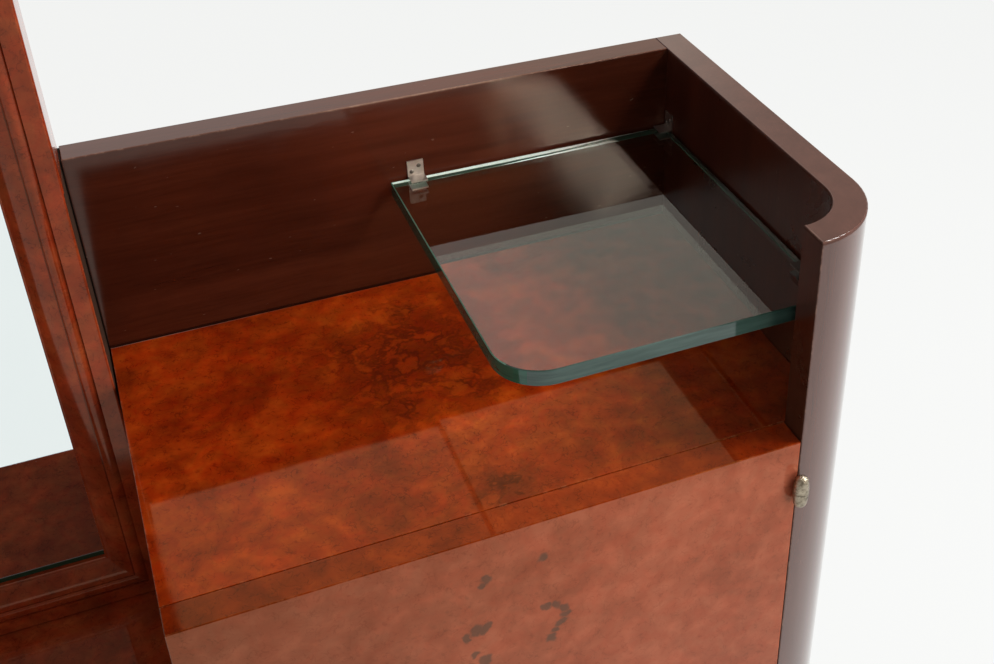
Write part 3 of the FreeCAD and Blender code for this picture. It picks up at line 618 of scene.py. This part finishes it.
def folded_box(*names):
    """The same for boards that cross the middle, seen through the fold of the book-matched veneer."""
    low, high = board_box(*names)
    return (-1.0, low[1], low[2]), high


def finish(material, *names):
    """Puts a finish on every face of the named pieces."""
    for name in names:
        slots = nodes[name].material_slots
        for slot in slots:
            slot.link = "DATA"
            slot.material = material


def both(*names):
    return [side + name for name in names for side in ("right_", "left_")]


# the smoky roots on the top by X, Y and reach, and the dark blots on the door by X, Z and reach
top_roots = [((x, y, top_level), reach) for x, y, reach in (
    (0.482, 0.036, 0.052), (0.4815, -0.007, 0.036), (0.5305, 0.029, 0.045), (0.5255, 0.002, 0.042),
    (0.509, 0.101, 0.026), (0.5165, 0.054, 0.044), (0.462, 0.075, 0.030), (0.5225, -0.110, 0.034),
    (0.500, 0.050, 0.100), (0.312, -0.1105, 0.004))]
door_blots = [((x, door_face, z), reach) for x, z, reach in (
    (0.4885, 0.6055, 0.008), (0.4845, 0.601, 0.006), (0.5257, 0.607, 0.008), (0.5285, 0.563, 0.006),
    (0.5345, 0.562, 0.007), (0.540, 0.559, 0.007), (0.5405, 0.552, 0.007), (0.539, 0.545, 0.007),
    (0.536, 0.538, 0.007), (0.531, 0.532, 0.007), (0.487, 0.562, 0.008), (0.4805, 0.562, 0.008),
    (0.474, 0.558, 0.006), (0.479, 0.540, 0.006), (0.486, 0.532, 0.008), (0.475, 0.530, 0.008))]

# painted shade: the top darkens towards its right end and the door towards its left; the top also gets the
# painted highlight along its back edge
finish(burl("burl_top", *board_box("right_top_board"), BURL_DEEP, roots=top_roots, painted_shade=(0.76, 0.56, 0.25),
            painted_back_highlight=True), *both("top_board"))
finish(burl("burl_door", *board_box("right_door"), BURL_LIGHT, blots=door_blots, top_stops=BURL_DEEP,
            painted_shade=(0.27, 0.60, 0.46), haze=0.08, rubbed=0.12, golden=0.4), *both("door"))
finish(burl("burl_low_top", *folded_box("low_top"), BURL_BROWN, tint=(1.0, 0.55, 0.32)), "low_top")
for level in ("upper", "lower"):
    front = level + "_drawer_front"
    finish(burl("burl_" + level + "_drawer", *folded_box(front), BURL_LIGHT, golden=0.4), front)
frame_members = ("mirror_bottom_rail", "mirror_top_rail", "mirror_left_stile", "mirror_right_stile")
# the frame's side face by the gallery and its outer arris are painted in shade
finish(burl("burl_frame", *folded_box(*frame_members), BURL_BROWN, tint=(1.0, 0.65, 0.45), gloss=0.10,
            rubbed=0.0, shaded_joint=(stile_edge - 0.001, gallery_top - 0.0005)), *frame_members)

finish(mahogany("mahogany_side", "Z", *board_box("right_side_panel"), faces_out=True), *both("side_panel"))
finish(mahogany("mahogany_gallery", "X", *endless_box("right_gallery_back")), *both("gallery_back"))
finish(mahogany("mahogany_plinth", "X", *folded_box("right_plinth", "centre_plinth")),
       *both("plinth"), "centre_plinth")

cabinet_tones = [(0.25, (0.10, 0.040, 0.018)), (0.5, (0.17, 0.074, 0.033)), (0.75, (0.25, 0.115, 0.052))]
pale_tones = [(0.25, (0.34, 0.205, 0.105)), (0.5, (0.46, 0.295, 0.160)), (0.75, (0.56, 0.380, 0.220))]
ply_tones = [(0.25, (0.29, 0.175, 0.088)), (0.5, (0.40, 0.255, 0.138)), (0.75, (0.50, 0.335, 0.190))]
finish(timber("cabinet_wood_upright", cabinet_tones, "Z"),
       *both("inner_side"), "centre_left_side", "centre_right_side")
finish(timber("cabinet_wood_long", cabinet_tones, "X"),
       *both("bottom_board", "inner_shelf"), "centre_bottom")
finish(timber("beech_long", pale_tones, "X", fineness=1.4),
       "drawer_rail", "upper_drawer_back", "lower_drawer_back", "mirror_battens")
finish(timber("beech_deep", pale_tones, "Y", fineness=1.4),
       "drawer_runners", "upper_drawer_sides", "lower_drawer_sides")
finish(timber("ply_upright", ply_tones, "Z", fineness=0.8),
       *both("carcass_back"), "centre_back", "mirror_backing")
finish(timber("ply_deep", ply_tones, "Y", fineness=0.8),
       "upper_drawer_bottom", "lower_drawer_bottom")

plate_glass = clear_glass()
front_edge = glass_edge("glass_front_edge", (0.022, 0.048, 0.038), (0.040, 0.074, 0.061), gloss=0.05)
inner_edge = glass_edge("glass_inner_edge", (0.006, 0.050, 0.030), (0.016, 0.090, 0.055), gloss=0.05)
wall_edge = glass_edge("glass_wall_edge", (0.016, 0.020, 0.015), (0.028, 0.032, 0.024), gloss=0.30)
back_edge = back_edge_highlights(*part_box("right_glass_shelf"))
dark_arris = glass_edge("glass_dark_arris", (0.006, 0.030, 0.020), (0.012, 0.045, 0.030), gloss=0.45)
green_arris = glass_edge("glass_green_arris", (0.050, 0.200, 0.130), (0.160, 0.360, 0.270), gloss=0.30)
dull_arris = glass_edge("glass_dull_arris", (0.040, 0.100, 0.070), (0.100, 0.160, 0.120), gloss=0.40)
shade_felt = felt()

# the places of a glass plate's finishes in its list
CLEAR, FRONT, INNER, WALL, BACK, DARK_ARRIS, GREEN_ARRIS, DULL_ARRIS = range(8)


def glass_plate(side):
    """A glass shelf from the shape of its CAD piece, with its own faces, edges and arrises."""
    shelf = nodes[side + "_glass_shelf"]
    bpy.ops.object.select_all(action="DESELECT")
    shelf.select_set(True)
    bpy.context.view_layer.objects.active = shelf
    bpy.ops.object.duplicate()
    plate = bpy.context.object
    plate.name = side + "_glass_plate"
    plate.data.materials.clear()
    for finish_of_face in (plate_glass, front_edge, inner_edge, wall_edge, back_edge,
                           dark_arris, green_arris, dull_arris):
        plate.data.materials.append(finish_of_face)
    bpy.ops.object.mode_set(mode="EDIT")
    bpy.ops.mesh.select_all(action="SELECT")
    bpy.ops.mesh.remove_doubles(threshold=0.000001)
    bpy.ops.mesh.dissolve_limited(angle_limit=math.radians(0.5))
    bpy.ops.object.mode_set(mode="OBJECT")
    bpy.ops.mesh.customdata_custom_splitnormals_clear()
    bpy.ops.object.shade_smooth_by_angle(angle=math.radians(35))
    outward = 1 if side == "right" else -1
    for face in plate.data.polygons:
        across, along, rise = face.normal.x * outward, face.normal.y, abs(face.normal.z)
        bevelled = rise > 0.2
        if rise > 0.99:
            face.material_index = CLEAR
        elif along > 0.5:
            face.material_index = BACK
        elif across > 0.3:
            face.material_index = DULL_ARRIS if bevelled else WALL
        elif across < -0.6:
            face.material_index = GREEN_ARRIS if bevelled else INNER
        else:
            face.material_index = DARK_ARRIS if bevelled else FRONT
    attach(plate, "table")
    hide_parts(side + "_glass_shelf")


def joint_shade_strip(side):
    """A thin dark felt strip in the upright joint between the mirror frame and the gallery, put there as
    painted shade over the gap.
    """
    back_low, back_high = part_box("right_gallery_back")
    outward = 1 if side == "right" else -1
    low = (stile_edge + 0.0001, back_low[1] + 0.001, back_low[2] + 0.001)
    high = (back_low[0] - 0.0001, back_high[1] - 0.001, back_high[2] - 0.001)
    bpy.ops.object.select_all(action="DESELECT")
    bpy.ops.mesh.primitive_cube_add(size=1.0, location=[(a + b) / 2 for a, b in zip(low, high)])
    strip = bpy.context.object
    strip.name = side + "_joint_shade_strip"
    strip.location.x *= outward
    strip.scale = [b - a for a, b in zip(low, high)]
    bpy.ops.object.transform_apply(location=True, rotation=True, scale=True)
    bpy.ops.object.mode_set(mode="EDIT")
    bpy.ops.mesh.select_all(action="SELECT")
    bpy.ops.mesh.bevel(offset=0.0003, segments=2)
    bpy.ops.mesh.subdivide(number_cuts=2)
    bpy.ops.object.mode_set(mode="OBJECT")
    strip.data.materials.append(shade_felt)
    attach(strip, "table")


# dark strips put in the joints beside the mirror frame as painted shade
joint_shade_strip("right")
joint_shade_strip("left")
glass_plate("right")
glass_plate("left")
finish(silvered_mirror(), "mirror_glass")
nickel = plated("polished_nickel", (0.66, 0.63, 0.57), (0.50, 0.47, 0.41), gloss=0.16, haze=0.16)
# the clip nearest the door is painted in shade
clip_nickel = plated("brushed_clip_nickel", (0.64, 0.58, 0.53), (0.54, 0.48, 0.43), gloss=0.30, haze=0.12,
                     shaded_from=-0.05)
hinge_nickel = plated("cast_nickel", (0.44, 0.375, 0.28), (0.115, 0.088, 0.055), gloss=0.26, haze=0.2,
                      grit=0.0004, scale=1100.0)
steel = plated("bright_steel", (0.50, 0.50, 0.50), (0.38, 0.38, 0.37), gloss=0.28, haze=0.18)
dark_screw = plated("dark_screw_steel", (0.16, 0.13, 0.11), (0.07, 0.06, 0.05), gloss=0.3, haze=0.2)
finish(nickel, *both("door_knob"), "upper_drawer_knobs", "lower_drawer_knobs")
finish(clip_nickel, "shelf_clips")
finish(dark_screw, "clip_screws")
finish(hinge_nickel, "hinge_fixed_leaves", "hinge_pins", *both("hinge_door_leaves"))
finish(steel, "catch_clips", *both("catch_stud"), "connecting_bolts", "shelf_pegs")


# ---------------------------------------------------------------- floor, light and camera

def seen_directly(tree):
    """1 for rays from the camera, from gloss and through glass, and 0 for rays that carry light."""
    ray = tree.nodes.new("ShaderNodeLightPath").outputs
    seen = maths(tree, "MAXIMUM", ray["Is Camera Ray"], ray["Is Glossy Ray"])
    return maths(tree, "MAXIMUM", seen, ray["Is Transmission Ray"])


def pale_floor():
    """A plain pale floor, which mostly glows for what sees it, and keeps a soft shadow."""
    bpy.ops.object.select_all(action="DESELECT")
    bpy.ops.mesh.primitive_plane_add(size=40.0, location=(0, 0, 0))
    floor = bpy.context.object
    floor.name = "studio_floor"
    made, tree, shader, place = new_material("pale_floor")
    shader.inputs["Roughness"].default_value = 0.9
    shader.inputs["Specular IOR Level"].default_value = 0.1
    marks = noise(tree, place, 3.0, 3.0)
    tree.links.new(ramp(tree, marks, [(0.3, (0.80, 0.80, 0.80)), (0.7, (0.82, 0.82, 0.82))]),
                   shader.inputs["Base Color"])
    glow = put(tree, "ShaderNodeEmission", None, {"Color": (0.935, 0.943, 0.932, 1.0), "Strength": 1.0})
    share = maths(tree, "MULTIPLY", seen_directly(tree), 0.9)
    choice = put(tree, "ShaderNodeMixShader", None, {"Fac": share})
    tree.links.new(shader.outputs["BSDF"], choice.inputs[1])
    tree.links.new(glow.outputs["Emission"], choice.inputs[2])
    tree.links.new(choice.outputs["Shader"], tree.nodes["Material Output"].inputs["Surface"])
    floor.data.materials.append(made)


# the room that polish and glass show: a pale wall that goes darker to the right, and a dark front
WALL_TONES = [(0.10, (0.90, 0.90, 0.89)), (0.30, (0.81, 0.770, 0.680)), (0.41, (0.76, 0.71, 0.630)),
              (0.46, (0.42, 0.385, 0.35)), (0.55, (0.37, 0.34, 0.31))]
DARK_FRONT = (0.16, 0.155, 0.15)


def studio_world():
    """Even white light on the object, and the room in its reflections."""
    world = bpy.data.worlds.new("studio")
    scene.world = world
    world.use_nodes = True
    tree = world.node_tree
    tree.nodes.clear()
    way = tree.nodes.new("ShaderNodeTexCoord").outputs["Generated"]
    parts = put(tree, "ShaderNodeSeparateXYZ", None, {"Vector": way}).outputs
    wall = ramp(tree, parts["X"], WALL_TONES)
    shown = blended(tree, spread(tree, parts["Y"], -0.8, -0.3), DARK_FRONT, wall)
    room = put(tree, "ShaderNodeBackground", None, {"Color": shown, "Strength": 1.0})
    light = put(tree, "ShaderNodeBackground", None, {"Color": (1.0, 1.0, 1.0, 1.0), "Strength": 0.42})
    choice = put(tree, "ShaderNodeMixShader", None, {"Fac": seen_directly(tree)})
    tree.links.new(light.outputs["Background"], choice.inputs[1])
    tree.links.new(room.outputs["Background"], choice.inputs[2])
    output = tree.nodes.new("ShaderNodeOutputWorld")
    tree.links.new(choice.outputs["Shader"], output.inputs["Surface"])


def soft_box(name, place, target, size, power, colour=(1.0, 1.0, 1.0), lean=0.0, mirrored=True):
    """A rectangular lamp aimed at a point, leaning by so many degrees; polish shows it if mirrored."""
    bpy.ops.object.light_add(type="AREA", location=place)
    lamp = bpy.context.object
    lamp.name = name
    lamp.visible_glossy = mirrored
    lamp.data.shape = "RECTANGLE"
    lamp.data.size, lamp.data.size_y = size
    lamp.data.energy = power
    lamp.data.color = colour
    aim = lamp.location.copy()
    aim.x, aim.y, aim.z = (target[axis] - place[axis] for axis in range(3))
    lamp.rotation_euler = aim.to_track_quat("-Z", "Y").to_euler()
    lamp.rotation_euler.rotate_axis("Z", math.radians(lean))


pale_floor()
studio_world()
soft_box("right_soft_box", (2.0, -0.35, 2.1), target=(0.5, 0.0, 0.6), size=(1.0, 0.8), power=50.0)
soft_box("low_front_box", (1.9, -2.3, 0.75), target=(0.5, -0.15, 0.4), size=(1.2, 0.6), power=20.0,
         mirrored=False)
soft_box("small_window", (1.6665, -2.3817, 2.1018), target=(0.657, 0.087, 0.73), size=(0.24, 0.62),
         power=7.4, colour=(1.0, 0.90, 0.80), lean=-38.0)

bpy.ops.object.camera_add(location=(0.33359, -0.69324, 1.21545),
                          rotation=tuple(math.radians(turn) for turn in (56.6601, 0.2597, -23.0876)))
camera = bpy.context.object
camera.data.lens = 47.13
camera.data.sensor_width = 36.0
camera.data.shift_x = -0.1008
camera.data.shift_y = -0.0748
scene.camera = camera
